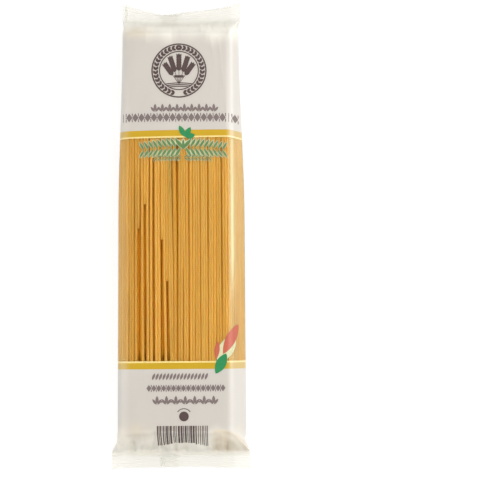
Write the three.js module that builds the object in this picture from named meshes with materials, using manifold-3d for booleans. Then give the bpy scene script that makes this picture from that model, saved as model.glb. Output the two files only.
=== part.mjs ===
// A sealed film packet of 500 g of spaghetti, lying on its back with its front face up.
// The film tube has a flat front panel with a folded edge on its right, a side panel that
// leans outwards below that fold, and a crimped seal at each end. A printed band covers each
// end of the tube, and between the bands a clear window lies tight on the strands.
// Millimetres. X is across the packet, +Y is its top end and +Z is up. The origin is at the
// middle of the footprint.
import * as THREE from 'three';
import { LoftGeometry } from 'three/addons/geometries/LoftGeometry.js';
import { mergeVertices } from 'three/addons/utils/BufferGeometryUtils.js';
import Module from 'manifold-3d';

// Lengths along the packet
const STRAND_LENGTH = 256;
const TOP_SLOPE = 17; // from the strands' end to the seal
const BOTTOM_SLOPE = 16;
const TOP_SEAL = 9;
const BOTTOM_SEAL = 9.5;
const WINDOW_LOW = -84.2;
const WINDOW_HIGH = 60.2;

// The tube's cross-section
const LEFT_EDGE_LOW = -39.8;
const LEFT_EDGE_HIGH = -37.4; // the tube is a little narrower at its top end
const RIGHT_EDGE_LOW = 43.9;
const RIGHT_EDGE_HIGH = 40.6;
const TAPER_START = 10; // where it begins to narrow
const FOLD_X = 33.4; // the fold between the front panel and the right side panel
const THICKNESS = 22;
const CROWN = 1.4; // the front panel's middle stands higher than its edges by this
const BULGE_HEIGHT = 7; // of the sides' widest line above the floor
const BACK_INSET = 3.6; // the flat of the back ends this far inside the edges

// The end seals
const SEAL_THICKNESS = 0.9;
const SEAL_HEIGHT = 7.5; // above the floor
const TOP_SEAL_LEFT = -38;
const TOP_SEAL_RIGHT = 41;
const BOTTOM_SEAL_LEFT = -43.8;
const BOTTOM_SEAL_RIGHT = 45.4;
const TOP_LINE_BOW = 3; // the top seal's inner line bows towards the body by this
const TOP_EDGE_BOW = 6.5; // and its cut edge by this
const BOTTOM_EDGE_BOW = 1.2;
const CRIMP_PITCH = 1.8;
const CRIMP_DEPTH = 0.22;
const FIN_WAVE_HEIGHT = 0.9;
const FIN_WAVE_LENGTH = 46;

// Folds in the film of the two ends
const TOP_TUCK = 2; // how far the sides fold in on the way to a seal
const BOTTOM_TUCK = 3.4;
const PLEAT_PITCH = 9.5;
const PLEAT_HEIGHT = 0.6;
const CORNER_FOLD_RADIUS = 19; // a curved fold round the bottom right corner
const CORNER_FOLD_HEIGHT = 1.3;
const CORNER_FOLD_WIDTH = 5;

// The long seam is pressed flat along the back, with a groove on each side of its flap
const SEAM_FLAP = 12;
const SEAM_FOLD_X = -1;
const GROOVE_DEPTH = 0.5;
const GROOVE_WIDTH = 1.6;

// The strands under the window
const STRAND_COUNT = 62; // round the front panel and both sides
const WINDOW_SINK = 0.15; // their crowns lie this far below the printed film
const VALLEY_DEPTH = 0.75;
const SUNKEN_DEPTH = 1; // a strand in the layer below lies this much deeper
const STRAND_WANDER = 0.35; // in widths of a strand
const STRAND_STATIONS = 6;
const BROKEN_END = 0.8; // length of the step at a broken strand's end
const UNDER_BAND = 1.5; // the strands run on under the printed bands
const CORE_INSET = 2.4; // the solid below the strands

// Gaps in the top layer of strands, each at x, reaching down from the y where it starts
const GAPS = [
	{ x: -25.4, start: 1 }, // below a broken strand
	{ x: -21.5, start: 17 }, // below another
	{ x: -16, start: WINDOW_HIGH },
	{ x: -10.4, start: WINDOW_HIGH },
	{ x: 19.2, start: WINDOW_HIGH },
	{ x: 27.8, start: WINDOW_HIGH },
];

const BODY_HIGH = STRAND_LENGTH / 2;
const BODY_LOW = -STRAND_LENGTH / 2;
const SEAL_HIGH = BODY_HIGH + TOP_SLOPE;
const SEAL_LOW = BODY_LOW - BOTTOM_SLOPE;

const { lerp, clamp, smoothstep } = THREE.MathUtils;

// A rise from 0 to 1 with rounded ends and a straight middle
function softRamp(t) {
	const rounding = 0.22;
	const u = clamp(t, 0, 1);
	const slope = 1 / (1 - rounding);
	if (u < rounding) return (slope * u * u) / (2 * rounding);
	if (u > 1 - rounding) return 1 - (slope * (1 - u) ** 2) / (2 * rounding);
	return slope * (u - rounding / 2);
}

// A bump of height 1 at 0 that fades out at 1
const bump = (t) => (1 - clamp(Math.abs(t), 0, 1) ** 2) ** 2;

// How far the tube has closed: 0 along the strands and 1 at a seal
function closing(y) {
	return y > 0 ? softRamp((y - BODY_HIGH) / TOP_SLOPE) : softRamp((BODY_LOW - y) / BOTTOM_SLOPE);
}

// The corners of the cross-section in order round it, from the left end of the back. Each has
// the length that its rounding takes from the sides that meet there, the steps in that
// rounding, and the divisions of the straight side that follows.
function corners(y, inset) {
	const shut = closing(y);
	const open = 1 - shut;
	const taper = smoothstep(y, TAPER_START, BODY_HIGH);
	const tuck = (y > 0 ? TOP_TUCK : BOTTOM_TUCK) * Math.sin(Math.PI * shut) ** 2;
	const sharp = SEAL_THICKNESS / 4;

	const front = lerp(THICKNESS - CROWN - inset, SEAL_HEIGHT + SEAL_THICKNESS / 2, shut);
	const back = lerp(0, SEAL_HEIGHT - SEAL_THICKNESS / 2, shut);
	const side = lerp(BULGE_HEIGHT, SEAL_HEIGHT, shut);
	const sealLeft = y > 0 ? TOP_SEAL_LEFT : BOTTOM_SEAL_LEFT;
	const sealRight = y > 0 ? TOP_SEAL_RIGHT : BOTTOM_SEAL_RIGHT;
	const left = lerp(lerp(LEFT_EDGE_LOW, LEFT_EDGE_HIGH, taper) + inset, sealLeft, shut);
	const right = lerp(lerp(RIGHT_EDGE_LOW, RIGHT_EDGE_HIGH, taper) - inset, sealRight, shut);
	const fold = lerp(FOLD_X - inset, sealRight, shut);
	return [
		{ x: left + BACK_INSET * open, z: back, round: lerp(3, sharp, shut), steps: 2, straight: 1 },
		{ x: left + tuck, z: side, round: lerp(4, sharp, shut), steps: 3, straight: 1 },
		{ x: left + 0.5 * open, z: front, round: lerp(10, sharp, shut), steps: 5, straight: 22 },
		{ x: fold, z: front, round: lerp(2.5, sharp, shut), steps: 3, straight: 3 },
		{ x: right - tuck, z: side, round: lerp(5, sharp, shut), steps: 3, straight: 1 },
		{ x: right - BACK_INSET * open, z: back, round: lerp(3, sharp, shut), steps: 2, straight: 0 },
	];
}

// Where the flat of the back is divided, from right to left, so that the seam's grooves get
// their corners
function backDivisions() {
	const middles = [SEAM_FOLD_X - SEAM_FLAP, SEAM_FOLD_X];
	const sides = [-1, 0, 1];
	const grooves = middles.flatMap((x) => sides.map((side) => x + (side * GROOVE_WIDTH) / 2));
	return grooves.sort((a, b) => b - a);
}

// The closed outline of the cross-section at y, as (x, z) points
function outline(y, inset = 0) {
	const list = corners(y, inset);
	const points = [];
	list.forEach((corner, i) => {
		const here = new THREE.Vector2(corner.x, corner.z);
		const before = list.at(i - 1);
		const after = list[(i + 1) % list.length];
		const reach = (from, to, round) => {
			const way = new THREE.Vector2(to.x - from.x, to.z - from.z);
			return new THREE.Vector2(from.x, from.z).add(way.setLength(Math.min(round, 0.45 * way.length())));
		};
		const bend = new THREE.QuadraticBezierCurve(
			reach(corner, before, corner.round),
			here,
			reach(corner, after, corner.round)
		);
		points.push(...bend.getPoints(corner.steps));
		const start = points.at(-1);
		const end = reach(after, corner, after.round);
		for (let k = 1; k <= corner.straight; k++) {
			points.push(start.clone().lerp(end, k / (corner.straight + 1)));
		}
	});
	const backHeight = points.at(-1).y;
	backDivisions().forEach((x) => points.push(new THREE.Vector2(x, backHeight)));
	return points;
}

// How much higher the front panel is than its plain outline: its crown, the pleats towards
// the seals and the curved fold at the bottom right corner
function frontRelief(x, y) {
	const shut = closing(y);
	const across = clamp((x - LEFT_EDGE_LOW) / (FOLD_X - LEFT_EDGE_LOW), 0, 1);
	const crown = CROWN * 4 * across * (1 - across) * (1 - shut);
	const pleats = PLEAT_HEIGHT * 4 * shut * (1 - shut) * Math.sin((2 * Math.PI * x) / PLEAT_PITCH + y / 9);
	const fromArc = Math.hypot(x - BOTTOM_SEAL_RIGHT + CORNER_FOLD_RADIUS, y - SEAL_LOW) - CORNER_FOLD_RADIUS;
	const inCorner = x > BOTTOM_SEAL_RIGHT - CORNER_FOLD_RADIUS && y < 0 ? 1 : 0;
	const cornerFold = CORNER_FOLD_HEIGHT * inCorner * bump(fromArc / CORNER_FOLD_WIDTH) * (1 - shut);
	return crown + pleats + cornerFold;
}

// How much higher the back is: the grooves beside the seam's flap
function backRelief(x, y) {
	const nearest = Math.min(Math.abs(x - SEAM_FOLD_X), Math.abs(x - SEAM_FOLD_X + SEAM_FLAP));
	return GROOVE_DEPTH * clamp(1 - nearest / (GROOVE_WIDTH / 2), 0, 1) * (1 - closing(y));
}

// One ring of the tube at y
function tubeRing(y, inset = 0) {
	return outline(y, inset).map(({ x, y: z }) => {
		const middle = lerp(THICKNESS / 2, SEAL_HEIGHT, closing(y));
		const onFront = smoothstep(z, middle, lerp(THICKNESS - CROWN - inset, middle, closing(y)));
		const lift = z > middle ? frontRelief(x, y) * onFront : backRelief(x, y);
		return new THREE.Vector3(x, y, z + lift);
	});
}

// One ring of a seal, a share t of the way from its inner line to its cut edge
function sealRing(atTop, t, rib) {
	const line = atTop ? SEAL_HIGH : SEAL_LOW;
	const [left, right] = atTop ? [TOP_SEAL_LEFT, TOP_SEAL_RIGHT] : [BOTTOM_SEAL_LEFT, BOTTOM_SEAL_RIGHT];
	return outline(line).map(({ x, y: z }) => {
		const across = clamp((x - left) / (right - left), 0, 1);
		const bow = Math.sin(Math.PI * across ** 0.85);
		const crimp = rib * CRIMP_DEPTH;
		const wave = FIN_WAVE_HEIGHT * t * Math.sin((2 * Math.PI * x) / FIN_WAVE_LENGTH + (atTop ? 1 : 3));
		const y = atTop
			? line + t * TOP_SEAL - lerp(TOP_LINE_BOW, TOP_EDGE_BOW, t) * bow
			: line - t * BOTTOM_SEAL + t * BOTTOM_EDGE_BOW * bow;
		return new THREE.Vector3(x, y, z + crimp + wave);
	});
}

// The rings of a seal from its inner line outwards, one for each side of each crimp
function sealRings(atTop) {
	const count = Math.round((2 * (atTop ? TOP_SEAL : BOTTOM_SEAL)) / CRIMP_PITCH);
	return Array.from({ length: count + 1 }, (_, i) => sealRing(atTop, i / count, i % 2 ? 1 : -1));
}

// Numbers evenly spaced from one to another, both included
const spread = (from, to, count) => Array.from({ length: count }, (_, i) => lerp(from, to, i / (count - 1)));

// The film tube from its bottom seal to its top seal, drawn in between the bands for the strands
function tubeSections() {
	const step = 0.4;
	const bowed = TOP_LINE_BOW + 1;
	return [
		...sealRings(false).reverse(),
		...spread(SEAL_LOW + 1.5, BODY_LOW, 8).map((y) => tubeRing(y)),
		...spread(BODY_LOW + 8, WINDOW_LOW, 3).map((y) => tubeRing(y)),
		...spread(WINDOW_LOW + step, WINDOW_HIGH - step, 3).map((y) => tubeRing(y, CORE_INSET)),
		...spread(WINDOW_HIGH, BODY_HIGH - 6, 4).map((y) => tubeRing(y)),
		...spread(BODY_HIGH, SEAL_HIGH - bowed, 7).map((y) => tubeRing(y)),
		...sealRings(true),
	];
}

// The same sequence of numbers from 0 to 1 at every run
function seededRandom(seed) {
	let state = seed;
	return () => {
		state = (state * 1664525 + 1013904223) % 4294967296;
		return state / 4294967296;
	};
}

// The strands that show, fused side by side into one sheath round the front and the sides
function strandSections() {
	const random = seededRandom(11);
	const phases = Array.from({ length: STRAND_COUNT + 1 }, () => 2 * Math.PI * random());
	const low = WINDOW_LOW - UNDER_BAND;
	const high = WINDOW_HIGH + UNDER_BAND;
	const broken = GAPS.filter((gap) => gap.start < WINDOW_HIGH).map((gap) => gap.start);
	const stations = [
		...spread(low, high, STRAND_STATIONS),
		...broken.flatMap((y) => [y, y - BROKEN_END]),
	].sort((a, b) => a - b);
	// Across one strand: the valley beside it, its two flanks and its crown
	const profile = [
		{ at: 0, depth: VALLEY_DEPTH },
		{ at: 0.22, depth: 0.2 },
		{ at: 0.5, depth: 0 },
		{ at: 0.78, depth: 0.2 },
	];
	return stations.map((y) => {
		const round = tubeRing(y, WINDOW_SINK).slice(1, -backDivisions().length - 1);
		const path = new THREE.Path(round.map((p) => new THREE.Vector2(p.x, p.z)));
		const edge = (k) => {
			const wander = k > 0 && k < STRAND_COUNT ? STRAND_WANDER * Math.sin(phases[k] + (y * 2.2) / STRAND_LENGTH) : 0;
			return (k + wander) / STRAND_COUNT;
		};
		const points = [];
		for (let k = 0; k < STRAND_COUNT; k++) {
			const middle = path.getPointAt((edge(k) + edge(k + 1)) / 2);
			const width = path.getLength() / STRAND_COUNT;
			const sunken = GAPS.some(
				(gap) => Math.abs(middle.x - gap.x) < width / 2 && middle.y > THICKNESS / 2 && y < gap.start
			);
			profile.forEach(({ at, depth }) => {
				const u = clamp(lerp(edge(k), edge(k + 1), at), 0, 1);
				const tangent = path.getTangentAt(u);
				const inwards = new THREE.Vector2(tangent.y, -tangent.x);
				const point = path.getPointAt(u).addScaledVector(inwards, depth + (sunken && at ? SUNKEN_DEPTH : 0));
				points.push(new THREE.Vector3(point.x, y, point.y));
			});
		}
		return points;
	});
}

const wasm = await Module();
wasm.setup();

// The triangles that close the end of a flat seal: they go back and forth between its front
// and its back, from its left edge to its right one
function sealEnd(ring, firstIndex, facesUp) {
	const xs = ring.map((point) => point.x);
	const leftmost = xs.indexOf(Math.min(...xs));
	const rightmost = xs.indexOf(Math.max(...xs));
	const along = (step) => {
		const chain = [leftmost];
		while (chain.at(-1) !== rightmost) chain.push((chain.at(-1) + step + ring.length) % ring.length);
		return chain;
	};
	const front = along(1);
	const back = along(-1);
	const triangles = [];
	let i = 0;
	let j = 0;
	while (i < front.length - 1 || j < back.length - 1) {
		const frontNext = i < front.length - 1 ? xs[front[i + 1]] : Infinity;
		const backNext = j < back.length - 1 ? xs[back[j + 1]] : Infinity;
		const next = frontNext < backNext ? front[i + 1] : back[j + 1];
		const triangle = [front[i], next, back[j]];
		if (new Set(triangle).size === 3) {
			triangles.push(...(facesUp ? triangle : triangle.reverse()).map((index) => firstIndex + index));
		}
		if (frontNext < backNext) i += 1;
		else j += 1;
	}
	return triangles;
}

// The tube's outer surface: its rings from end to end, closed at the two seals
function tubeGeometry() {
	const sections = tubeSections();
	const loft = new LoftGeometry(sections);
	const lastRing = (sections.length - 1) * (sections[0].length + 1);
	const ends = [...sealEnd(sections[0], 0, false), ...sealEnd(sections.at(-1), lastRing, true)];
	loft.setIndex([...loft.index.array, ...ends]);
	return loft;
}

// A closed geometry as a solid for joining
function solidOf(geometry) {
	const bare = new THREE.BufferGeometry();
	bare.setAttribute('position', geometry.getAttribute('position'));
	bare.setIndex(geometry.index);
	const merged = mergeVertices(bare, 1e-4);
	return new wasm.Manifold(
		new wasm.Mesh({
			numProp: 3,
			vertProperties: merged.attributes.position.array,
			triVerts: new Uint32Array(merged.index.array),
		})
	);
}

// A joined solid as a geometry whose footprint has its middle at the origin
function geometryOf(solid) {
	const mesh = solid.getMesh();
	const geometry = new THREE.BufferGeometry();
	geometry.setAttribute('position', new THREE.BufferAttribute(mesh.vertProperties, 3));
	geometry.setIndex(new THREE.BufferAttribute(mesh.triVerts, 1));
	geometry.computeBoundingBox();
	const { min, max } = geometry.boundingBox;
	geometry.translate(-(min.x + max.x) / 2, -(min.y + max.y) / 2, -min.z);
	geometry.computeVertexNormals();
	return geometry;
}

const strands = new LoftGeometry(strandSections(), { capStart: true, capEnd: true });
const packet = new THREE.Mesh(
	geometryOf(solidOf(tubeGeometry()).add(solidOf(strands))),
	new THREE.MeshStandardMaterial({ color: 0xcc9440, roughness: 0.45, metalness: 0, flatShading: true })
);
packet.name = 'spaghetti_packet';

const root = new THREE.Group();
root.add(packet);

export default root;
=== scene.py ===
# The looks of a sealed film packet of 500 g of spaghetti, lying on its back with its front up.
# The clear film is printed with a grey band at each end, edged with a yellow stripe. Between
# the bands it is clear and lies tight on the strands.
# Sizes are millimetres in the packet's own frame, and to_frame turns them into the row's metres.
import math

import bpy
import numpy as np
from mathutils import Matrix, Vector
from mathutils.bvhtree import BVHTree


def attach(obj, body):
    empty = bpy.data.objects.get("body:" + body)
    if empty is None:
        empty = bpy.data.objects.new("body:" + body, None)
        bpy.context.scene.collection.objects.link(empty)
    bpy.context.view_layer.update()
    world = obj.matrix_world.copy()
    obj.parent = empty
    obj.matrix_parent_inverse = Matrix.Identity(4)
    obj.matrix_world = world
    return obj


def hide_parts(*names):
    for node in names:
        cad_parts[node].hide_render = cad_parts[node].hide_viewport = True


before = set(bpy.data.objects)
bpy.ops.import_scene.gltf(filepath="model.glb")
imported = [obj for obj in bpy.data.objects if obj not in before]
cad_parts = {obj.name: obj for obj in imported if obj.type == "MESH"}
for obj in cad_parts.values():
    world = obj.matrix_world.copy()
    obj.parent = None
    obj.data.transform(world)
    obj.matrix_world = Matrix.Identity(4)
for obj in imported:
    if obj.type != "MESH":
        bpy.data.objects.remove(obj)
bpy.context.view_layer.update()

NODE = "spaghetti_packet"
BODY = "root"
MM = 0.001

# The packet's length, as in the part's source: y = 0 is half way along the strands
STRAND_LENGTH = 256.0
TOP_SLOPE = 17.0
BOTTOM_SLOPE = 16.0
TOP_SEAL = 9.0
BOTTOM_SEAL = 9.5
WINDOW_LOW = -84.2
WINDOW_HIGH = 60.2
BODY_HIGH = STRAND_LENGTH / 2
BODY_LOW = -STRAND_LENGTH / 2
SEAL_HIGH = BODY_HIGH + TOP_SLOPE
SEAL_LOW = BODY_LOW - BOTTOM_SLOPE

# The tube's cross-section, as in the part's source
LEFT_EDGE_LOW = -39.8
LEFT_EDGE_HIGH = -37.4
RIGHT_EDGE_LOW = 43.9
RIGHT_EDGE_HIGH = 40.6
TAPER_START = 10.0
FOLD_X = 33.4
THICKNESS = 22.0
CROWN = 1.4
BULGE_HEIGHT = 7.0
BACK_INSET = 3.6
BACK_LIFT = 0.3  # room for the seam's flap under the film
LONGEST_ROUNDING = 0.45  # of the side that it takes up

# The end seals
SEAL_THICKNESS = 0.25
SEAL_HEIGHT = 7.5
TOP_SEAL_LEFT = -38.0
TOP_SEAL_RIGHT = 41.0
BOTTOM_SEAL_LEFT = -43.8
BOTTOM_SEAL_RIGHT = 45.4
TOP_LINE_BOW = 3.0
TOP_EDGE_BOW = 6.5
BOTTOM_EDGE_BOW = 1.2
CRIMP_PITCH = 1.8
CRIMP_DEPTH = 0.08
FIN_WAVE_HEIGHT = 0.9
FIN_WAVE_LENGTH = 46.0
TOP_TUCK = 2.0
BOTTOM_TUCK = 3.4
SEAL_CLEARNESS = 0.64  # the share of light that goes straight through the film at a seal
TOP_NOTCH = 1.3  # the top edge is pulled in by this much left of its middle
FLAT_FROM = 0.86  # the folds end where the tube is closed by this share
PRESSED = 0.92  # the share of a fold's height that a seal takes away

# How high folds stand and how deep they sink
CREST_OVER_STRANDS = 0.7
CREST_ON_SLOPES = 2.8
DEEPEST_FOLD = 3.0

# Painted sheen: how much the film is whitened, in place of a highlight, where it is bent
FOLD_SHEEN = 0.44
LOW_FOLD_SHEEN = 0.18
SIDE_SHEEN = 0.15
LEFT_SHEEN = 0.1

# The printed bands
STRIPE = 4.0  # width of a yellow stripe
LINE = 1.1  # width of the pale line between a stripe and the window
BAND_HIGH = 120.0  # past these the bands belong to the ends of the film
BAND_LOW = -122.0
BAND_SKEW = 0.013  # the upper stripe rises to the right by this much a millimetre
BAND_SKEW_REACH = 45.0

# The long seam on the back
SEAM_FLAP = 12.0
SEAM_FOLD_X = -1.0
SEAM_CRIMP = 2.4  # pitch of the ribs pressed into it
SEAM_CRIMP_DEPTH = 0.03
SEAM_GAP = 0.08  # the flap lies this far off the film
SEAM_LIFT = 0.14  # and its free edge this much farther
SEAM_INSET = 0.15  # it ends this far inside the film's edges
SEAM_OFFSET = 0.8  # the print on the flap is this much off the print beside it

# The strands
STRAND_RADIUS = 1.0
STRAND_PITCH = 1.7
# FLANK_SHADE sets painted shade: a strand's far side gets this much more of it than its near side
FLANK_SHADE = 0.35  # how much deeper a strand's far side counts than its near side
LAYER_DEPTH = 1.4  # from one layer of strands to the next
BUNCHING = 0.1  # strands of a bunch lie closer together by this share of the pitch
BUNCH_DEPTH = 0.3  # a bunch lies deeper than its neighbours by up to this
TONE_MEMORY = 0.8  # how much of a strand's tone its neighbour has too
INNER_PITCH = 2.0
OUTER_SIDES = 10
INNER_SIDES = 8
STRAND_START = 1.5  # the bundle ends this far inside the tube's straight part
STATION_COUNT = 24
CORE_LEFT = -30.0  # the bundle's middle, from which its strands look outwards
CORE_RIGHT = 30.0
CORE_HEIGHT = 10.5
FILM_GAP = 0.12
UNDER_BAND = 0.3  # the strands lie this much deeper under the printed bands

X_SHIFT = -(BOTTOM_SEAL_LEFT + BOTTOM_SEAL_RIGHT) / 2
Y_SHIFT = -(SEAL_HIGH + TOP_SEAL + SEAL_LOW - BOTTOM_SEAL) / 2


def to_frame(points):
    """Points in the packet's millimetres as metres in the row frame."""
    return (np.asarray(points, float) + (X_SHIFT, Y_SHIFT, 0.0)) * MM


def mix(a, b, t):
    return a + (b - a) * t


def smooth(t):
    t = np.clip(t, 0.0, 1.0)
    return t * t * (3 - 2 * t)


# The form of the tube


def taper(y):
    """0 along the packet's wide lower part, and 1 where the bundle ends at the top."""
    return smooth((y - TAPER_START) / (BODY_HIGH - TAPER_START))


def past_seal(y):
    """How far out on an end seal y is: 0 at the seal's inner line and 1 at its free edge."""
    if y > 0:
        return max(0.0, y - SEAL_HIGH) / TOP_SEAL
    return max(0.0, SEAL_LOW - y) / BOTTOM_SEAL


def soft_ramp(t):
    """A rise from 0 to 1 with rounded ends and a straight middle."""
    rounding = 0.22
    t = min(max(t, 0.0), 1.0)
    slope = 1 / (1 - rounding)
    if t < rounding:
        return slope * t * t / (2 * rounding)
    if t > 1 - rounding:
        return 1 - slope * (1 - t) ** 2 / (2 * rounding)
    return slope * (t - rounding / 2)


def closing(y):
    """How far the tube has closed: 0 along the strands and 1 at a seal."""
    if y > 0:
        return soft_ramp((y - BODY_HIGH) / TOP_SLOPE)
    return soft_ramp((BODY_LOW - y) / BOTTOM_SLOPE)


def corners(y, inset=0.0):
    """The corners of the cross-section: x, z, the rounding's length, its steps, and the
    divisions of the side that follows."""
    shut = closing(y)
    is_open = 1 - shut
    narrowed = taper(y)
    tuck = (TOP_TUCK if y > 0 else BOTTOM_TUCK) * math.sin(math.pi * shut) ** 2
    sharp = SEAL_THICKNESS / 4
    front = mix(THICKNESS - CROWN - inset, SEAL_HEIGHT + SEAL_THICKNESS / 2, shut)
    back = mix(BACK_LIFT + inset, SEAL_HEIGHT - SEAL_THICKNESS / 2, shut)
    side = mix(BULGE_HEIGHT, SEAL_HEIGHT, shut)
    seal_left = TOP_SEAL_LEFT if y > 0 else BOTTOM_SEAL_LEFT
    seal_right = TOP_SEAL_RIGHT if y > 0 else BOTTOM_SEAL_RIGHT
    left = mix(mix(LEFT_EDGE_LOW, LEFT_EDGE_HIGH, narrowed) + inset, seal_left, shut)
    right = mix(mix(RIGHT_EDGE_LOW, RIGHT_EDGE_HIGH, narrowed) - inset, seal_right, shut)
    fold = mix(FOLD_X - 0.6 * inset, seal_right, shut)
    return [
        (left + BACK_INSET * is_open, back, mix(3, sharp, shut), 6, 3),
        (left + tuck, side, mix(4, sharp, shut), 6, 4),
        (left + 0.5 * is_open, front, mix(10, sharp, shut), 14, 140),
        (fold, front, mix(3, sharp, shut), 10, 14),
        (right - tuck, side, mix(5, sharp, shut), 8, 4),
        (right - BACK_INSET * is_open, back, mix(3, sharp, shut), 6, 70),
    ]


def rounded_share(rounding, side):
    """The share of a side that the rounding of its corner takes up."""
    return min(rounding / np.linalg.norm(side), LONGEST_ROUNDING)


def outline(y, inset=0.0):
    """The closed cross-section at y as an array of (x, z) points."""
    ring = corners(y, inset)
    points = []
    for i, (x, z, rounding, steps, straight) in enumerate(ring):
        here = np.array((x, z))
        next_x, next_z, next_rounding = ring[(i + 1) % len(ring)][:3]
        before = np.array(ring[i - 1][:2]) - here
        after = np.array((next_x, next_z)) - here
        reach_in = before * rounded_share(rounding, before)
        reach_out = after * rounded_share(rounding, after)
        for t in np.linspace(0, 1, steps + 1):
            points.append(here + reach_in * (1 - t) ** 2 + reach_out * t * t)
        end = here + after * (1 - rounded_share(next_rounding, after))
        start = points[-1]
        for k in range(1, straight + 1):
            points.append(start + (end - start) * k / (straight + 1))
    return np.array(points)


def crown(x, y):
    """How much the front panel's middle stands higher than its edges."""
    across = np.clip((x - LEFT_EDGE_LOW) / (FOLD_X - LEFT_EDGE_LOW), 0, 1)
    return CROWN * 4 * across * (1 - across) * (1 - closing(y))


def front_share(z, y, inset=0.0):
    """1 on the front panel, falling to 0 half way down the sides."""
    shut = closing(y)
    middle = mix(THICKNESS / 2, SEAL_HEIGHT, shut)
    top = mix(THICKNESS - CROWN - inset, middle + SEAL_THICKNESS / 2, shut)
    return smooth((z - middle) / (top - middle))


# The folds in the film


def ridge(off, width, rounding):
    """The height of a fold at a distance off its line: 1 there, and rounded by that share of
    its width."""
    softened = np.sqrt(off**2 + (rounding * width) ** 2) - rounding * width
    return np.exp(-softened / width)


def crease(x, y, start, end, width, height):
    """A sharp fold from start to end that fades out towards both."""
    (sx, sy), (ex, ey) = start, end
    length = math.hypot(ex - sx, ey - sy)
    along = ((x - sx) * (ex - sx) + (y - sy) * (ey - sy)) / length**2
    aside = ((x - sx) * (ey - sy) - (y - sy) * (ex - sx)) / length
    inside = np.clip(along, 0, 1)
    fade = np.sqrt(np.clip(4 * inside * (1 - inside), 0, 1))
    return height * fade * ridge(aside, width, 0.25)


def arc_fold(x, y, centre, radius, first, last, width, height):
    """A fold along an arc between two directions, in degrees, that fades out at both."""
    dx = x - centre[0]
    dy = y - centre[1]
    turn = np.degrees(np.arctan2(dy, dx))
    along = np.clip((turn - first) / (last - first), 0, 1)
    fade = np.sqrt(4 * along * (1 - along))
    return height * fade * ridge(np.hypot(dx, dy) - radius, width, 0.3)


def gathers(rng, line, inwards, left, right, count, reach, strength):
    """Creases that run from a seal into the tube: each is a start, an end, a width and a
    height."""
    made = []
    for k in range(count):
        x = mix(left, right, (k + rng.uniform(0.1, 0.9)) / count)
        length = rng.uniform(*reach)
        lean = rng.normal(0, 0.16) * length
        start = (x, line - inwards * rng.uniform(1, 4))
        end = (x + lean, line + inwards * length)
        made.append((start, end, rng.uniform(0.7, 1.7), rng.uniform(-1, 1) * strength))
    return made


def long_ripples(rng, count):
    """Shallow creases along the bands, where the film is drawn tight."""
    made = []
    for _ in range(count):
        x = rng.uniform(LEFT_EDGE_HIGH + 2, FOLD_X - 1)
        middle = rng.choice((98.0, -108.0)) + rng.uniform(-16, 16)
        half = rng.uniform(6, 20)
        lean = rng.normal(0, 1.2)
        start = (x - lean, middle - half)
        made.append((start, (x + lean, middle + half), rng.uniform(0.8, 2), rng.uniform(-0.1, 0.16)))
    return made


RNG = np.random.default_rng(21)
FRONT_CREASES = [
    *gathers(RNG, SEAL_LOW, 1, BOTTOM_SEAL_LEFT + 3, BOTTOM_SEAL_RIGHT - 14, 28, (5, 17), 3.2),
    *gathers(RNG, SEAL_HIGH - TOP_LINE_BOW, -1, TOP_SEAL_LEFT + 2, TOP_SEAL_RIGHT - 2, 22, (6, 20), 0.8),
    *long_ripples(RNG, 16),
    # The crumpled corner at the bottom left: start, end, width, height
    ((-41, -128), (-33, -137), 1.2, 0.8),
    ((-41, -133), (-35, -142), 1.0, -0.7),
    ((-38, -126), (-36, -134), 0.9, 0.5),
    ((-43, -137), (-30, -141), 1.0, 0.6),
    # Folds from the right shoulder down into the top band
    ((26, 128), (30, 92), 1.1, 0.5),
    ((31, 126), (31.5, 70), 1.0, 0.4),
    ((20, 132), (24, 108), 1.3, 0.35),
    # And the left one
    ((-34, 131), (-31, 96), 1.6, 0.35),
    ((-37, 126), (-36, 104), 1.4, -0.3),
]
BACK_CREASES = [
    *gathers(RNG, SEAL_LOW, 1, BOTTOM_SEAL_LEFT + 3, BOTTOM_SEAL_RIGHT - 3, 24, (5, 16), 0.4),
    *gathers(RNG, SEAL_HIGH, -1, TOP_SEAL_LEFT + 2, TOP_SEAL_RIGHT - 2, 24, (6, 18), 0.4),
]
CORNER_CENTRE = (BOTTOM_SEAL_RIGHT - 19, SEAL_LOW - 1)
CORNER_FOLDS = [
    # radius, first and last direction, width, height
    (17.8, -5, 104, 1.7, 1.0),
    (15.0, 4, 94, 1.4, -0.7),
    (12.2, -5, 92, 1.6, 0.6),
    (8.6, 8, 84, 1.4, -0.4),
]


def off_seal(shut):
    """1 where folds stand freely, falling to almost 0 where the seal presses them flat."""
    return 1 - PRESSED * smooth((shut - FLAT_FROM) / (1 - FLAT_FROM))


def front_folds(x, y):
    """The height of every fold in the front film at x and nominal y. The folds of the slopes
    may stand higher than those over the strands."""
    total = np.zeros_like(x)
    for start, end, width, height in FRONT_CREASES:
        total += crease(x, y, start, end, width, height)
    if y < -110:
        for radius, first, last, width, height in CORNER_FOLDS:
            total += arc_fold(x, y, CORNER_CENTRE, radius, first, last, width, height)
    shut = closing(y)
    swell = 0.12 * np.sin(x / 6.1 + y / 17) + 0.1 * np.sin(x / 9.7 - y / 11 + 2)
    total += (swell + 0.2) * (1 - shut)
    loose = smooth((abs(y) - BODY_HIGH + 4) / 8)
    highest = mix(CREST_OVER_STRANDS, CREST_ON_SLOPES, smooth(shut / 0.5))
    raised = highest * np.tanh(np.clip(total, 0, None) / highest)
    sunk = np.maximum(total, -DEEPEST_FOLD * loose)
    return np.where(total > 0, raised, sunk) * off_seal(shut)


def back_folds(x, y):
    """The same for the back, where only the slopes at the ends are creased."""
    total = np.zeros_like(x)
    for start, end, width, height in BACK_CREASES:
        total += crease(x, y, start, end, width, height)
    shut = closing(y)
    return total * smooth(shut / 0.2) * off_seal(shut)


# The film's mesh


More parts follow.
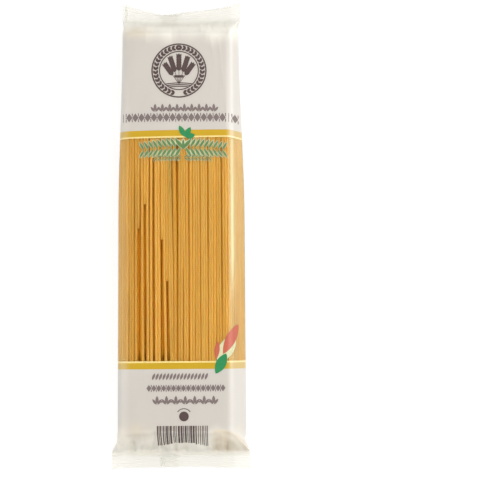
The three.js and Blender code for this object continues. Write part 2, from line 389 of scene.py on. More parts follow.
def shifted_y(x, y):
    """Where a ring's point at x really lies along the packet: the seals bow inwards and the
    upper stripe is a little askew."""
    top = y > 0
    left, right = (TOP_SEAL_LEFT, TOP_SEAL_RIGHT) if top else (BOTTOM_SEAL_LEFT, BOTTOM_SEAL_RIGHT)
    across = np.clip((x - left) / (right - left), 0, 1)
    bow = np.sin(np.pi * across**0.85)
    past = past_seal(y)
    if top:
        moved = -mix(TOP_LINE_BOW, TOP_EDGE_BOW, past) * bow * closing(y)
        moved = moved - TOP_NOTCH * past * smooth((x + 19) / 4) * smooth((4 - x) / 12)
    else:
        moved = BOTTOM_EDGE_BOW * bow * past
    askew = smooth(1 - abs(y - WINDOW_HIGH) / BAND_SKEW_REACH)
    return y + moved + askew * BAND_SKEW * x


def film_ring(y):
    """One ring of the film at nominal y, as an array of points."""
    flat = outline(y)
    x, z = flat[:, 0], flat[:, 1]
    shut = closing(y)
    on_front = front_share(z, y)
    on_back = (z < mix(THICKNESS / 4, SEAL_HEIGHT, shut)).astype(float)
    z = z + on_front * (crown(x, y) + front_folds(x, y)) - on_back * back_folds(x, y)
    past = past_seal(y)
    if past:
        beyond = past * (TOP_SEAL if y > 0 else BOTTOM_SEAL)
        z = z + CRIMP_DEPTH * np.sin(2 * np.pi * beyond / CRIMP_PITCH)
        z = z + FIN_WAVE_HEIGHT * past * np.sin(2 * np.pi * x / FIN_WAVE_LENGTH + (1 if y > 0 else 3))
    return np.stack([x, shifted_y(x, y), z], axis=1)


# Each strip of the film: where it starts, the spacing of its rings and its finish
STRIPS = [
    (SEAL_LOW - BOTTOM_SEAL, 0.3, "end"),
    (SEAL_LOW, 0.6, "end"),
    (BAND_LOW, 1.6, "panel"),
    (WINDOW_LOW - LINE - STRIPE, 1.0, "stripe"),
    (WINDOW_LOW - LINE, 0.55, "line"),
    (WINDOW_LOW, 2.4, "window"),
    (WINDOW_HIGH, 0.55, "line"),
    (WINDOW_HIGH + LINE, 1.0, "stripe"),
    (WINDOW_HIGH + LINE + STRIPE, 1.6, "panel"),
    (BAND_HIGH, 0.6, "end"),
    (SEAL_HIGH, 0.3, "end"),
    (SEAL_HIGH + TOP_SEAL, 0.0, None),
]


def paleness(x, y):
    """How far the print has faded: 0 on the bands, then more along the slopes, from an uneven
    start, and 1 on the seals."""
    uneven = 1.6 * np.sin(x / 5.3) + 1.1 * np.sin(x / 2.3 + 1)
    start = 121 + uneven + 0.3 * np.clip(-20 - x, 0, None)
    top = smooth((y - start) / 15)
    bottom = smooth((-y - 125 - uneven) / 12)
    return np.where(y > 0, top, bottom)


def clearness(y):
    """How much light comes through: none until the two layers of film meet at a seal."""
    top = smooth((y - 133) / 12)
    bottom = 0.25 * smooth((-y - 132) / 12) + 0.75 * smooth((-y - 144) / 1.5)
    return np.where(y > 0, top, bottom)


def beige_shade_mask(x, y):
    """A darker beige tone: painted shade in the hollow of the folded corner, in bands that follow its
    folds, and beige patches along the bottom slope and on both left shoulders."""
    off = np.hypot(x - CORNER_CENTRE[0], y - CORNER_CENTRE[1])
    corner = smooth((18.6 - off) / 2.0) * smooth((x - 18) / 6) * smooth((y - SEAL_LOW - 0.5) / 2)
    corner = corner * (0.85 + 0.15 * np.sin(1.25 * off))
    low = 0.4 * np.exp(-(((x + 28) / 13) ** 2) - ((y + 129) / 7) ** 2)
    high = 0.7 * np.exp(-(((x + 27) / 9) ** 2) - ((y - 131) / 4.5) ** 2)
    uneven = np.clip(np.sin(x / 2.1 + y / 5.5) + np.sin(x / 3.4 - y / 3.2 + 1), 0, 2)
    patches = 0.1 * uneven * smooth((-y - 122) / 5) * smooth((y + 144) / 4)
    return corner + (low + patches) + high


def painted_sheen(x, y, z):
    """Painted sheen, a whitening that stands in for a highlight: most where the film bends over the
    bundle's right edge, above all towards the top, and less on the right side and the left shoulder."""
    upper = smooth((y + 60) / 50)
    bend = np.exp(-(((x - FOLD_X - 0.5 - 0.7 * upper) / 1.4) ** 2)) * smooth((z - 12) / 6)
    side = smooth((x - FOLD_X) / 3)
    left = smooth((-30 - x) / 7)
    printed = smooth((y - WINDOW_HIGH + 3) / 6)
    fold = mix(LOW_FOLD_SHEEN, FOLD_SHEEN, upper) * (1 - 0.45 * printed)
    return fold * bend + SIDE_SHEEN * side + LEFT_SHEEN * left


def strip_rows(spacing=None):
    """The heights of rows at the spacing given, or at each strip's own, and their finishes."""
    heights = []
    finishes = []
    for (low, own_spacing, finish), (high, _, _) in zip(STRIPS, STRIPS[1:]):
        count = max(1, round((high - low) / (spacing or own_spacing)))
        heights += [mix(low, high, k / count) for k in range(count)]
        finishes += [finish] * count
    return heights, finishes


def added(name, data):
    """A new object in the scene that holds this mesh, light or camera."""
    made = bpy.data.objects.new(name, data)
    bpy.context.scene.collection.objects.link(made)
    return made


def mesh_piece(name, places, faces):
    """A smooth mesh from places in metres."""
    mesh = bpy.data.meshes.new(name)
    mesh.from_pydata(places, [], faces)
    mesh.validate()
    mesh.polygons.foreach_set("use_smooth", [True] * len(mesh.polygons))
    return added(name, mesh)


def store(piece, marks):
    """Keeps a value for each of a mesh's points under each name, for its finish to read."""
    for name, values in marks.items():
        attribute = piece.data.attributes.new(name, "FLOAT", "POINT")
        attribute.data.foreach_set("value", values)


def ring_faces(i, columns):
    """Quads from ring i of a closed grid to the next, facing outwards."""
    faces = []
    for j in range(columns):
        here = i * columns + j
        right = i * columns + (j + 1) % columns
        faces.append((here, right, right + columns, here + columns))
    return faces


def vertex_normals(grid):
    """The normals of a closed grid, so that its parts shade as one surface."""
    along = np.gradient(grid, axis=0)
    around = np.roll(grid, -1, axis=1) - np.roll(grid, 1, axis=1)
    normals = np.cross(around, along)
    return normals / np.maximum(np.linalg.norm(normals, axis=2, keepdims=True), 1e-9)


def mark_film(piece, points):
    """Stores on the film's points what its finishes read."""
    x, y, z = np.asarray(points, float).T
    beige_shade = beige_shade_mask(x, y)
    store(piece, {"pale": paleness(x, y), "clear": clearness(y), "beige_shade": beige_shade, "painted_sheen": painted_sheen(x, y, z)})


def finished_piece(name, places, faces, slots, wanted, materials):
    """A piece of film from some faces of a larger grid of places, with the finishes wanted.
    The second value tells which of the grid's places it uses."""
    used = sorted({index for face in faces for index in face})
    rank = {index: k for k, index in enumerate(used)}
    renumbered = [tuple(rank[index] for index in face) for face in faces]
    piece = mesh_piece(name, [places[index] for index in used], renumbered)
    for finish in wanted:
        piece.data.materials.append(materials[finish])
    piece.data.polygons.foreach_set("material_index", slots)
    return piece, used


def film_piece(name, grid, finishes, wanted, materials):
    """One piece of the film: the strips of the grid whose finish is wanted."""
    columns = grid.shape[1]
    faces = []
    slots = []
    for i, finish in enumerate(finishes):
        if finish in wanted:
            faces += ring_faces(i, columns)
            slots += [wanted.index(finish)] * columns
    points = grid.reshape(-1, 3)
    piece, used = finished_piece(name, to_frame(points).tolist(), faces, slots, wanted, materials)
    mark_film(piece, points[used])
    normals = vertex_normals(grid).reshape(-1, 3)[used]
    piece.data.normals_split_custom_set_from_vertices(normals.tolist())
    return piece


# The strands


# Where the strands leave a gap, from left to right: x at its top and its bottom, the y where it
# starts and ends, and its width. BROKEN stands for a gap as wide as a strand, below the end of
# one that is broken off, in the outer layer and in the one under it.
BROKEN = "broken"
GAPS = [
    (-28.6, -28.5, 26, 0, 0.4),
    (-25.8, -25.3, 1, -140, BROKEN),
    (-21.8, -21.3, 17, -140, BROKEN),
    (-16.2, -15.8, 47, -140, BROKEN),
    (-10.9, -10.0, -6, -140, BROKEN),
    (-7.3, -4.9, -33, -140, BROKEN),
    (-5.2, -3.2, 48, -30, 0.5),
    (-0.6, -0.6, 44, -40, 0.3),
    (2.9, 2.9, -24, -92, 0.4),
    (6.7, 6.7, -60, -92, 0.3),
    (10.7, 10.7, -60, -92, 0.3),
    (19.2, 19.1, 42, -8, 0.5),
    (22.4, 22.3, 36, -10, 0.3),
    (27.8, 27.9, 52, -36, 0.4),
]
GAP_FADE = 14.0  # a parting narrows over this length at each end


def gap_at(gap, y):
    """Where a gap lies at y and how far it pushes its neighbours apart."""
    x_top, x_bottom, high, low, width = gap
    x = mix(x_top, x_bottom, min(max((high - y) / (high - low), 0), 1))
    if width == BROKEN:
        return x, 0.0
    return x, width * smooth((high + GAP_FADE - y) / GAP_FADE) * smooth((y - low + GAP_FADE) / GAP_FADE)


def section_at(y, inset):
    """The section at y inset by so much: its points, closed, and their distances along it."""
    flat = outline(y, inset)
    closed = np.vstack([flat, flat[:1]])
    closed[:, 1] += crown(closed[:, 0], y) * front_share(closed[:, 1], y, inset)
    lengths = np.concatenate([[0], np.cumsum(np.hypot(*np.diff(closed, axis=0).T))])
    return closed, lengths


def on_section(section, at):
    """Points at the distances given along a section, and the inward directions there."""
    closed, lengths = section
    at = at % lengths[-1]
    ahead = (at + 0.4) % lengths[-1]
    here = np.array([np.interp(at, lengths, closed[:, k]) for k in (0, 1)])
    way = np.array([np.interp(ahead, lengths, closed[:, k]) for k in (0, 1)]) - here
    return here, np.array([way[1], -way[0]]) / np.maximum(np.hypot(*way), 1e-9)


def front_distance(section, x):
    """How far along a section its front lies at x."""
    closed, lengths = section
    on_front = closed[:-1, 1] > BULGE_HEIGHT + 1
    order = np.argsort(closed[:-1, 0][on_front])
    return float(np.interp(x, closed[:-1, 0][on_front][order], lengths[:-1][on_front][order]))


STATIONS = np.linspace(BODY_LOW + STRAND_START, BODY_HIGH - STRAND_START, STATION_COUNT)


def ring_layout(section, y, counts=None):
    """The distances along a section of the middles of its strands: a strand at each gap as
    wide as one, and between two gaps as many as fit, in equal steps. The second value is the
    count between each pair, which stays the same at every y."""
    length = section[1][-1]
    marks = []
    for gap in GAPS:
        x, width = gap_at(gap, y)
        marks.append((front_distance(section, x), width, gap[4] == BROKEN))
    middles = []
    made = []
    for k, (here, width, is_strand) in enumerate(marks):
        there, next_width, next_is_strand = marks[(k + 1) % len(marks)]
        start = here + (STRAND_PITCH / 2 if is_strand else width / 2)
        end = there + (length if k == len(marks) - 1 else 0)
        end -= STRAND_PITCH / 2 if next_is_strand else next_width / 2
        count = counts[k] if counts else max(0, round((end - start) / STRAND_PITCH))
        if is_strand:
            middles.append(here)
        middles += [start + (end - start) * (i + 0.5) / count for i in range(count)]
        made.append(count)
    return np.array(middles), made


def gap_strands(counts):
    """Which strands of a ring's layout are broken off, and the y where each ends."""
    found = {}
    place = 0
    for gap, count in zip(GAPS, counts):
        if gap[4] == BROKEN:
            found[place] = gap[2]
            place += 1
        place += count
    return found


def bunches(rng, total):
    """How far each of a row of strands is moved aside and inwards so that they lie in bunches
    of two to four, with a parting between each two bunches."""
    aside = np.zeros(total)
    depth = np.zeros(total)
    first = 0
    while first < total:
        size = min(int(rng.integers(2, 5)), total - first)
        places = np.arange(size) - (size - 1) / 2
        aside[first : first + size] = -BUNCHING * STRAND_PITCH * places
        depth[first : first + size] = rng.uniform(0, BUNCH_DEPTH)
        first += size
    return aside, depth


def layer_paths(rng, inset, depth_spread):
    """The paths of one layer of strands all round the bundle: a line of points for each."""
    _, counts = ring_layout(section_at(-40.0, inset), -40.0)
    total = sum(counts) + len(gap_strands(counts))
    phase = rng.uniform(0, 2 * math.pi, (3, total))
    sway = rng.normal(0, 0.09, total)
    aside, depth = bunches(rng, total)
    aside += rng.normal(0, 0.05, total)
    depth += np.abs(rng.normal(0, depth_spread, total))
    paths = np.zeros((total, len(STATIONS), 3))
    for s, y in enumerate(STATIONS):
        under_band = smooth((y - WINDOW_HIGH) / 8) + smooth((WINDOW_LOW - y) / 8)
        section = section_at(y, inset + UNDER_BAND * under_band)
        middles, _ = ring_layout(section, y, counts)
        moved = aside + sway * (np.sin(phase[0] + y / 38) + 0.6 * np.sin(phase[1] + y / 17))
        at, inwards = on_section(section, middles + moved)
        at = at + inwards * depth * (0.55 + 0.45 * np.sin(phase[2] + y / 45))
        paths[:, s] = np.stack([at[0], np.full(total, y), at[1]], axis=1)
    return cut_at_gaps(paths, gap_strands(counts))


def inner_paths(rng, inset):
    """Straight strands in hexagonal order that fill what the outer layers leave."""
    core = outline(0.0, inset)
    low, high = core.min(axis=0), core.max(axis=0)
    narrow = (RIGHT_EDGE_HIGH - LEFT_EDGE_HIGH) / (RIGHT_EDGE_LOW - LEFT_EDGE_LOW)
    rise = INNER_PITCH * 0.87
    paths = []
    for r in range(int((high[1] - low[1]) / rise) + 1):
        z = low[1] + r * rise
        for c in range(int((high[0] - low[0]) / INNER_PITCH) + 1):
            x = low[0] + (c + 0.5 * (r % 2)) * INNER_PITCH
            if not inside(core, x, z):
                continue
            jitter = rng.normal(0, 0.08, 2)
            line = []
            for y in (STATIONS[0], STATIONS[-1]):
                width = mix(1.0, narrow, taper(y))
                line.append((x * width + jitter[0], y + rng.uniform(-1.2, 1.2), z + jitter[1]))
            paths.append(line)
    return np.array(paths)


def inside(polygon, x, z):
    """Whether a point lies inside a closed polygon."""
    x1, z1 = polygon.T
    x2, z2 = np.roll(polygon, -1, axis=0).T
    crosses = ((z1 > z) != (z2 > z)) & (x < (x2 - x1) * (z - z1) / (z2 - z1 + 1e-12) + x1)
    return crosses.sum() % 2 == 1


def cut_at_gaps(paths, broken):
    """The strands of a layer, with the broken ones cut off."""
    kept = list(paths)
    for k, low in broken.items():
        path = paths[k]
        end = [np.interp(low, path[:, 1], path[:, axis]) for axis in range(3)]
        kept[k] = np.vstack([end, path[path[:, 1] > low + 1]])
    return kept


def outwards(x, z):
    """The direction out of the bundle at a strand."""
    aside = x - min(max(x, CORE_LEFT), CORE_RIGHT)
    above = z - CORE_HEIGHT
    length = math.hypot(aside, above) + 1e-6
    return aside / length, above / length


def rods(name, paths, sides, material, rng, tone_spread, layer):
    """One mesh of round strands along the paths, each with a tone of its own. Every point also holds
    how deep in the bundle it is, the layer and more on a strand's flanks, as a painted shade."""
    turns = np.linspace(0, 2 * math.pi, sides, endpoint=False)
    points = []
    faces = []
    tones = []
    shade_depths = []
    tone = 0.0
    for path in paths:
        radius = STRAND_RADIUS * rng.uniform(0.95, 1.02)
        tone = TONE_MEMORY * tone + rng.normal(0, tone_spread)
        first = len(points)
        for x, y, z in path:
            out_x, out_z = outwards(x, z)
            for turn in turns:
                across, up = math.cos(turn), math.sin(turn)
                points.append((x + radius * across, y, z + radius * up))
                flank = 0.5 - 0.5 * (across * out_x + up * out_z)
                shade_depths.append(layer + FLANK_SHADE * (1 - layer) * flank)
        for i in range(len(path) - 1):
            for a, b, b_next, a_next in ring_faces(i, sides):
                faces.append((first + a, first + a_next, first + b_next, first + b))
        last = first + (len(path) - 1) * sides
        faces.append(tuple(first + j for j in range(sides)))
        faces.append(tuple(last + j for j in reversed(range(sides))))
        tones += [tone] * (len(path) * sides)
    piece = mesh_piece(name, to_frame(points).tolist(), faces)
    piece.data.polygons.foreach_set("use_smooth", [len(face) == 4 for face in faces])
    store(piece, {"tone": tones, "depth": shade_depths})
    piece.data.materials.append(material)
    return piece


# The print: each shape is a closed outline of (x, y) points


def leaf_shape(t):
    """A leaf's width at a share of its length, against its greatest width."""
    return math.sin(math.pi * t) ** 0.8


def leaf(x, y, length, width, degrees, points=7):
    """A leaf or grain, pointed at both ends, that starts at (x, y)."""
    turn = math.radians(degrees)
    upper = [(t, leaf_shape(t)) for t in np.linspace(0, 1, points)]
    lower = [(t, -side) for t, side in upper[-2:0:-1]]
    shape = []
    for along, side in upper + lower:
        a = along * length
        b = side * width / 2
        across = a * math.cos(turn) - b * math.sin(turn)
        shape.append((x + across, y + a * math.sin(turn) + b * math.cos(turn)))
    return shape


def leaf_pieces(x, y, length, width, degrees, rows=14, columns=4):
    """A large leaf as small quads, so that it follows the film's folds."""
    turn = math.radians(degrees)
    along = np.array((math.cos(turn), math.sin(turn)))
    aside = np.array((-math.sin(turn), math.cos(turn)))
    grid = []
    for t in np.linspace(0, 1, rows + 1):
        half = width / 2 * leaf_shape(t)
        middle = np.array((x, y)) + along * length * t
        grid.append([tuple(middle + aside * half * s) for s in np.linspace(-1, 1, columns + 1)])
    shapes = []
    for i in range(rows):
        for j in range(columns):
            shapes.append([grid[i][j], grid[i][j + 1], grid[i + 1][j + 1], grid[i + 1][j]])
    return shapes


def on_circle(x, y, radius, turns):
    return [(x + radius * math.cos(t), y + radius * math.sin(t)) for t in turns]


def disc(x, y, radius, points=18):
    return on_circle(x, y, radius, np.linspace(0, 2 * math.pi, points, endpoint=False))


def bar(x, y, width, height):
    return [(x, y), (x + width, y), (x + width, y + height), (x, y + height)]


def band_pieces(line, width):
    """Quads along a line of points, as wide as given."""
    line = np.array(line)
    way = np.gradient(line, axis=0)
    aside = np.stack([-way[:, 1], way[:, 0]], axis=1)
    aside *= width / 2 / np.maximum(np.hypot(*aside.T), 1e-9)[:, None]
    left, right = line + aside, line - aside
    steps = range(len(line) - 1)
    return [[tuple(p) for p in (right[i], right[i + 1], left[i + 1], left[i])] for i in steps]


def arc_pieces(x, y, radius, width, first, last):
    turns = np.radians(np.linspace(first, last, max(3, int(abs(last - first) / 6))))
    return band_pieces(on_circle(x, y, radius, turns), width)


def spots(left, right, pitch):
    """Places in a row, about a pitch apart, and the exact step between them."""
    count = round((right - left) / pitch)
    return [mix(left, right, k / count) for k in range(count + 1)], (right - left) / count


def grain_row(left, right, y, height, pitch, lean):
    """A border of leaning grains."""
    turn = math.radians(lean)
    foot = y - height / 2 * math.sin(turn)
    shapes = []
    for x in spots(left, right, pitch)[0]:
        shapes.append(leaf(x - height / 2 * math.cos(turn), foot, height, height * 0.34, lean, 6))
    return shapes


def sprig_row(left, right, y, height, pitch, dotted):
    """A border of small sprigs of three grains, with a dot between each two if dotted."""
    shapes = []
    foot = y - height / 2
    places, step = spots(left, right, pitch)
    for x in places:
        shapes.append(leaf(x, foot + 0.12 * height, height * 0.88, height * 0.36, 90, 6))
        for side in (-1, 1):
            shapes.append(leaf(x + side * 0.04 * height, foot, height * 0.8, height * 0.3, 90 - side * 38, 6))
        if dotted and x < places[-1]:
            shapes.append(disc(x + step / 2, foot + 0.3 * height, height * 0.1, 8))
    return shapes


def lozenge_row(left, right, y, height, pitch):
    """A border of lozenges with a short bar above and below the gap between each two."""
    shapes = []
    half = height / 2
    places, step = spots(left, right, pitch)
    for x in places:
        shapes.append([(x - half * 0.72, y), (x, y - half), (x + half * 0.72, y), (x, y + half)])
        if x < places[-1]:
            for low in (y + half * 0.3, y - half):
                shapes.append(bar(x + step / 2 - 0.3, low, 0.6, half * 0.7))
    return shapes


def wheat_ear(x, y, length, degrees, grains, size):
    """An ear of wheat on a stem: pairs of grains along its upper part and one at its tip."""
    turn = math.radians(degrees)
    way = np.array((math.cos(turn), math.sin(turn)))
    base = np.array((x, y))
    shapes = band_pieces([base + way * length * t for t in np.linspace(0, 0.9, 6)], 0.35)
    for k in range(grains):
        at = base + way * length * mix(0.45, 0.9, k / max(1, grains - 1))
        for side in (-1, 1):
            shapes.append(leaf(*at, size, size * 0.42, degrees + side * 30, 5))
    shapes.append(leaf(*(base + way * length * 0.9), size, size * 0.42, degrees, 5))
    return shapes


def medallion(x, y, radius):
    """A round mark: a wreath of grains between two rings, round a sheaf of wheat that stands
    on a mound."""
    wreath = radius * 0.86
    shapes = arc_pieces(x, y, radius, 0.9, 0, 360) + arc_pieces(x, y, radius * 0.72, 0.7, 0, 360)
    for side in (-1, 1):
        for k in range(17):
            turn = math.radians(90 + side * (8 + 10.1 * k))
            at = on_circle(x, y, wreath, [turn])[0]
            along = math.degrees(turn) - side * 90
            shapes += [leaf(*at, 3.1, 1.7, along + aside, 5) for aside in (30, -30)]
    foot = y - radius * 0.5
    for degrees, share in ((90, 1.0), (72, 0.96), (108, 0.96), (55, 0.82), (125, 0.82)):
        shapes += wheat_ear(x, foot, radius * 1.08 * share, degrees, 6, radius * 0.19)
    shapes += band_pieces([(x + t, foot + radius * 0.28) for t in np.linspace(-3, 3, 6)], 1.6)
    for k, wide in enumerate((9.5, 8.2, 6.2)):
        low = foot - 0.2 - 1.15 * k
        mound = [(x + t, low + 0.8 * math.cos(t / 6)) for t in np.linspace(-wide, wide, 9)]
        shapes += band_pieces(mound, 0.65)
    return shapes


def garland(left, right, y, count, size, spread, arch):
    """Pairs of leaves along a low arch, pointing from its middle to its two ends: each leaf
    is x, y, length and direction."""
    leaves = []
    middle = (left + right) / 2
    for k in range(count):
        share = (k + 0.5) / count
        for way in (-1, 1):
            at = middle + way * (right - left) / 2 * share
            high = y + arch * math.cos(share * math.pi / 2)
            base = 90 - way * 90
            grown = size * mix(1.0, 0.8, share)
            for side in (-1, 1):
                leaves.append((at, high, grown, base + way * side * spread))
    return leaves


BAR_STEPS = 28  # a bar is cut into this many short ones, less one, to follow the film


def stripes_block(rng, left, right, low, high):
    """Upright bars of uneven width that stand for nothing and end unevenly at their feet."""
    shapes = []
    x = left
    while x < right:
        wide = rng.choice((0.45, 0.5, 0.8, 1.2))
        share = (x - left) / (right - left)
        foot = low + 2.6 * math.sin(math.pi * share) + rng.uniform(-0.5, 0.5)
        steps = np.linspace(foot, high, BAR_STEPS)
        for a, b in zip(steps, steps[1:]):
            shapes.append(bar(x, a, wide, b - a))
        x += wide + rng.choice((0.4, 0.5, 0.8))
    return shapes


def film_tree(piece):
    """What rays are cast against to lay print on the film."""
    mesh = piece.data
    return BVHTree.FromPolygons([v.co for v in mesh.vertices], [p.vertices for p in mesh.polygons])


def printed(name, shapes, trees, material, lift, on_back=False):
    """The shapes laid on the film's front, or on its back, as one thin piece of ink."""
    points = []
    faces = []
    for shape in shapes:
        middle = np.mean(np.array(shape), axis=0)
        placed = [on_film(trees, x, y, lift, on_back) for x, y in [*shape, middle]]
        if any(place is None for place in placed):
            continue
        first = len(points)
        points += placed
        count = len(shape)
        ring = list(range(count))
        area = sum(shape[i - 1][0] * shape[i][1] - shape[i][0] * shape[i - 1][1] for i in ring)
        for i in ring:
            a, b = first + i, first + (i + 1) % count
            faces.append((a, b, first + count) if (area > 0) != on_back else (b, a, first + count))
    piece = mesh_piece(name, points, faces)
    piece.data.materials.append(material)
    return piece


def on_film(trees, x, y, lift, from_below=False):
    """The place on the film over or under (x, y), lifted off it by so many millimetres."""
    height = -20.0 if from_below else 60.0
    start = Vector(to_frame((x, y, height)))
    way = Vector((0, 0, 1 if from_below else -1))
    best = None
    for tree in trees:
        place, normal, _, distance = tree.ray_cast(start, way)
        if place is not None and (best is None or distance < best[1]):
            outwards_there = normal if normal.dot(way) < 0 else -normal
            best = (place + outwards_there * lift * MM, distance)
    return best and best[0]


# Finishes


def linear(red, green, blue):
    """A screen colour, 0 to 255, as the linear colour that a shader takes."""
    shares = (red / 255, green / 255, blue / 255)
    return (*(s / 12.92 if s <= 0.04045 else ((s + 0.055) / 1.055) ** 2.4 for s in shares), 1.0)


class Finish:
    """The nodes of a material or a world, and short calls to add and join them."""

    def __init__(self, owner, output="ShaderNodeOutputMaterial"):
        self.owner = owner
        owner.use_nodes = True
        self.nodes = owner.node_tree.nodes
        self.links = owner.node_tree.links
        self.nodes.clear()
        self.output = self.add(output)

    def add(self, kind, settings=None, **inputs):
        node = self.nodes.new(kind)
        for name, value in (settings or {}).items():
            setattr(node, name, value)
        for name, value in inputs.items():
            self.set(node, name.replace("_", " "), value)
        return node

    def fill(self, socket, value):
        """Joins a socket to another node's output, or gives it a plain value."""
        if isinstance(value, bpy.types.NodeSocket):
            self.links.new(value, socket)
        else:
            socket.default_value = value

    def set(self, node, name, value):
        self.fill(next(s for s in node.inputs if s.name == name and s.enabled), value)

    def place(self):
        return self.add("ShaderNodeTexCoord").outputs["Object"]

    def drawn_out(self, share):
        """Object coordinates in which a pattern is drawn out along the packet."""
        return self.add("ShaderNodeMapping", Vector=self.place(), Scale=(1, share, 1)).outputs[0]

    def point_value(self, name):
        """What the mesh's points hold under this name."""
        return self.add("ShaderNodeAttribute", {"attribute_name": name}).outputs["Fac"]

    def math(self, operation, first, second):
        node = self.add("ShaderNodeMath", {"operation": operation})
        self.fill(node.inputs[0], first)
        self.fill(node.inputs[1], second)
        return node.outputs[0]

    def noise(self, vector, scale, detail):
        return self.add("ShaderNodeTexNoise", Vector=vector, Scale=scale, Detail=detail).outputs["Fac"]

    def scaled(self, value, low, high):
        """A value from 0 to 1 spread from low to high."""
        return self.add("ShaderNodeMapRange", Value=value, To_Min=low, To_Max=high).outputs[0]

    def blend(self, share, first, second):
        node = self.add("ShaderNodeMix", {"data_type": "RGBA"}, Factor=share, A=first, B=second)
        return next(s for s in node.outputs if s.type == "RGBA" and s.enabled)

    def bump(self, height, strength, distance):
        return self.add("ShaderNodeBump", Height=height, Strength=strength, Distance=distance).outputs[0]

    def mixed(self, share, first, second):
        """Two shaders mixed, with this share of the second."""
        node = self.add("ShaderNodeMixShader", Fac=share)
        self.fill(node.inputs[1], first.outputs[0])
        self.fill(node.inputs[2], second.outputs[0])
        return node

    def finish(self, shader):
        self.set(self.output, "Surface", shader.outputs[0])
        return self.owner


WHITE = (1, 1, 1, 1)
SEAL_PRINT = (214, 210, 198)
# the beige of the painted shade in the folded corner, and of the beige patches
BEIGE_SHADE_PRINT = (197, 185, 164)
# the near white of the painted sheen
SHEEN_PRINT = (250, 248, 242)


def printed_film(name, colour, shade, to_seal=False):
    """Film with a print behind it: a soft gloss, lightened as painted sheen where it bends. Where it
    runs to a seal it turns paler, gets painted shade and beige patches, and at the seal light comes through."""
    f = Finish(bpy.data.materials.new(name))
    base = f.blend(f.noise(f.drawn_out(0.4), 60, 3), linear(*shade), linear(*colour))
    if to_seal:
        base = f.blend(f.point_value("pale"), base, linear(*SEAL_PRINT))
        # painted shade: darker beige in the folded corner's hollow, and beige patches
        base = f.blend(f.point_value("beige_shade"), base, linear(*BEIGE_SHADE_PRINT))
    # painted sheen: the print is lightened towards near white where the film bends, in place of a highlight
    base = f.blend(f.point_value("painted_sheen"), base, linear(*SHEEN_PRINT))
    relief = f.bump(f.noise(f.drawn_out(0.05), 420, 2), 0.25, 0.0002)
    shader = f.add("ShaderNodeBsdfPrincipled", Base_Color=base, Normal=relief, Roughness=0.36, IOR=1.45)
    if not to_seal:
        return f.finish(shader)
    through = f.add("ShaderNodeBsdfTransparent", Color=WHITE)
    return f.finish(f.mixed(f.scaled(f.point_value("clear"), 0.0, SEAL_CLEARNESS), shader, through))


def clear_film(name, haze, tint, roughness):
    """Clear film: mostly see-through, with a little haze, painted sheen where it bends, and a glossy
    reflection.
    """
    f = Finish(bpy.data.materials.new(name))
    relief = f.bump(f.noise(f.drawn_out(0.06), 300, 2), 0.35, 0.0004)
    through = f.add("ShaderNodeBsdfTransparent", Color=WHITE)
    haze_and_sheen_layer = f.add("ShaderNodeBsdfDiffuse", Color=tint, Normal=relief)
    gloss = f.add("ShaderNodeBsdfGlossy", Color=WHITE, Roughness=roughness, Normal=relief)
    streaks = f.scaled(f.noise(f.drawn_out(0.12), 90, 3), 0.4, 1.6)
    # painted sheen: the white layer is mixed in, in streaks, where the film bends, in place of a highlight
    sheen_share = f.math("MULTIPLY", streaks, f.point_value("painted_sheen"))
    haze_and_sheen = f.mixed(f.math("ADD", sheen_share, haze), through, haze_and_sheen_layer)
    edge = f.add("ShaderNodeFresnel", IOR=1.15)
    return f.finish(f.mixed(edge.outputs[0], haze_and_sheen, gloss))


def pasta():
    """Dried durum wheat: amber, a little glassy, each strand with a tone of its own, and painted shade in
    deeper amber.
    """
    f = Finish(bpy.data.materials.new("pasta"))
    shift = f.math("ADD", f.point_value("tone"), f.noise(f.drawn_out(0.12), 160, 3))
    surface = f.blend(shift, linear(183, 136, 47), linear(212, 164, 74))
    # painted shade: deeper, more saturated amber on the inner layers and a strand's flanks, where shade falls
    # between strands
    base = f.blend(f.point_value("depth"), surface, linear(250, 182, 12))
    shader = f.add(
        "ShaderNodeBsdfPrincipled",
        Base_Color=base,
        Normal=f.bump(f.noise(f.drawn_out(0.3), 1400, 2), 0.2, 0.0001),
        Roughness=0.42,
        IOR=1.3,
        Subsurface_Weight=0.8,
        Subsurface_Scale=0.0012,
    )
    f.set(shader, "Subsurface Radius", (1.0, 0.85, 0.5))
    return f.finish(shader)


def ink(name, colour, shade):
    """Printed ink, a little uneven."""
    f = Finish(bpy.data.materials.new(name))
    base = f.blend(f.noise(f.place(), 700, 2), linear(*shade), linear(*colour))
    return f.finish(f.add("ShaderNodeBsdfPrincipled", Base_Color=base, Roughness=0.4))


def glowing_floor():
    """A white table lit from below."""
    f = Finish(bpy.data.materials.new("table"))
    speck = f.scaled(f.noise(f.place(), 3, 2), 0.19, 0.21)
    colour = f.add("ShaderNodeCombineColor", Red=speck, Green=speck, Blue=speck).outputs[0]
    surface = f.add("ShaderNodeBsdfDiffuse", Color=colour)
    glow = f.add("ShaderNodeEmission", Color=(1.0, 1.0, 0.99, 1), Strength=0.8)
    both = f.add("ShaderNodeAddShader")
    f.fill(both.inputs[0], surface.outputs[0])
    f.fill(both.inputs[1], glow.outputs[0])
    return f.finish(both)


def film_finishes(name, window, grey, yellow, pale_line):
    """The finish of each of the film's strips: the look of its window, and the colour and the
    shade of each print."""
    return {
        "window": clear_film(name + "_window", *window),
        "panel": printed_film(name + "_grey", *grey, True),
        "end": printed_film(name + "_grey_end", *grey, True),
        "stripe": printed_film(name + "_yellow", *yellow),
        "line": printed_film(name + "_pale_line", *pale_line),
    }


# The pieces


